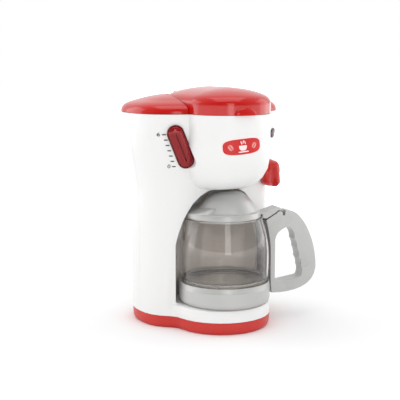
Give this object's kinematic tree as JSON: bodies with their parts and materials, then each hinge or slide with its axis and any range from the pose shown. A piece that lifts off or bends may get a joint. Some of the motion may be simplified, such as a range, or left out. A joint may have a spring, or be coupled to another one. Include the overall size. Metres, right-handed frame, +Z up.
{
  "type": "toy coffee maker",
  "caption": "Toy drip coffee maker: red base and lids, white column and head, clear jug with grey handle and hinged lid, turning knob and red level gauge.",
  "frame": {"origin": "in the plane that the base stands on, under the axis of the jug", "axes": "+Z up, -Y towards the front of the toy, +X towards the jug's handle"},
  "size_m": [0.1562, 0.1345, 0.2072],
  "materials": {
    "white_shell": "gloss",
    "red_shell": "gloss",
    "grey_parts": "satin",
    "smoke_parts": "satin",
    "clear_jug": "clear",
    "ruby_clear": "clear",
    "black_parts": "matte",
    "board": "satin",
    "battery_skin": "gloss",
    "steel_parts": "plain"
  },
  "bodies": {
    "machine": {"front_housing": "white_shell", "rear_cover": "white_shell", "niche_liner": "white_shell", "top_deck": "white_shell", "gauge_back": "white_shell", "base_tray": "red_shell", "battery_door": "red_shell", "tank_cover": "red_shell", "filter_basket": "smoke_parts", "indicator_lens": "smoke_parts", "speaker_cone": "smoke_parts", "battery_box": "black_parts", "rotary_switch": "black_parts", "speaker": "black_parts", "battery_lead": "black_parts", "speaker_lead": "black_parts", "switch_lead": "black_parts", "lamp_lead": "black_parts", "battery_door_screw": "steel_parts", "dome_lid_pin": "steel_parts", "battery_contact_left": "steel_parts", "battery_contact_right": "steel_parts", "base_screw_1": "steel_parts", "base_screw_2": "steel_parts", "base_screw_3": "steel_parts", "base_screw_4": "steel_parts", "cover_screw_1": "steel_parts", "cover_screw_2": "steel_parts", "cover_screw_3": "steel_parts", "cover_screw_4": "steel_parts", "board_screw_1": "steel_parts", "board_screw_2": "steel_parts", "gauge_lens": "ruby_clear", "gauge_tube": "ruby_clear", "indicator_led": "ruby_clear", "circuit_board": "board", "battery_1": "battery_skin", "battery_2": "battery_skin"},
    "knob": {"switch_knob": "red_shell", "switch_shaft": "grey_parts"},
    "top_lid": {"dome_lid": "red_shell"},
    "jug": {"jug_glass": "clear_jug", "jug_base": "grey_parts", "handle_bracket": "smoke_parts", "handle_half_front": "grey_parts", "handle_half_rear": "grey_parts", "handle_screw_1": "steel_parts", "handle_screw_2": "steel_parts", "handle_screw_3": "steel_parts", "jug_lid_pin": "steel_parts"},
    "pot_lid": {"jug_lid": "grey_parts", "thumb_lever": "grey_parts"}
  },
  "joints": [
    {"name": "knob_turn", "type": "hinge", "parent": "machine", "child": "knob", "pos_m": [0.0495, 0.01029, 0.1307], "axis": [-0.4101, 0.8976, 0.1615], "range_deg": [0, 60]},
    {"name": "dome_lid_hinge", "type": "hinge", "parent": "machine", "child": "top_lid", "pos_m": [0, 0.065, 0.19965], "axis": [-1, 0, 0], "range_deg": [0, 100]},
    {"name": "jug_slide", "type": "slide", "parent": "machine", "child": "jug", "axis": [0, -1, 0], "range_m": [0, 0.2]},
    {"name": "jug_lid_hinge", "type": "hinge", "parent": "jug", "child": "pot_lid", "pos_m": [0.04924, -0.00868, 0.0955], "axis": [0.1736, 0.9848, 0], "range_deg": [0, 35]}
  ],
  "couplings": [
    {"joint": "jug_lid_hinge", "follows": "jug_slide", "rad_per_m": 3}
  ]
}
